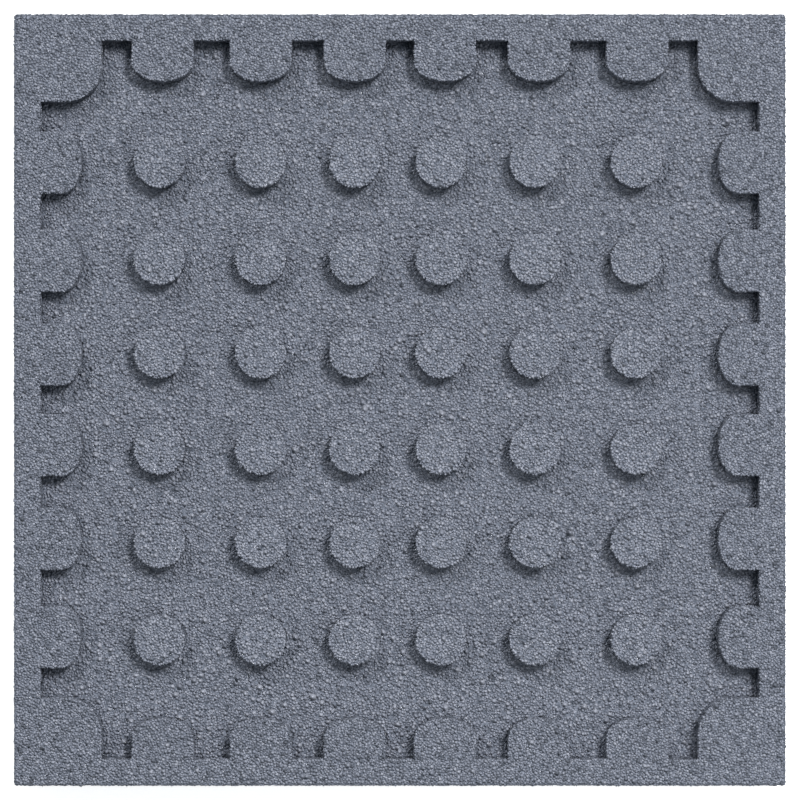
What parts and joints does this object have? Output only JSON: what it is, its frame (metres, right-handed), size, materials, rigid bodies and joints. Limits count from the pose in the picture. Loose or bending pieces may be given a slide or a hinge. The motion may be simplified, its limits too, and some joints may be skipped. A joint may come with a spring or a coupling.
{
  "type": "rubber safety tile",
  "caption": "Square impact-absorbing rubber floor tile, flat wear face down, with a recessed back of round studs inside a rim with half-oval lugs.",
  "frame": {"origin": "middle of the wear face, which lies on the floor", "axes": "+Z up, out of the studded back; +X to the right and +Y upwards in the picture of the back"},
  "size_m": [0.5, 0.5, 0.045],
  "materials": {
    "rubber_crumb": "matte, granular: grey rubber crumb pressed and bound, with small dark pores between the granules"
  },
  "bodies": {
    "root": {"safety_tile": "rubber_crumb"}
  },
  "joints": []
}
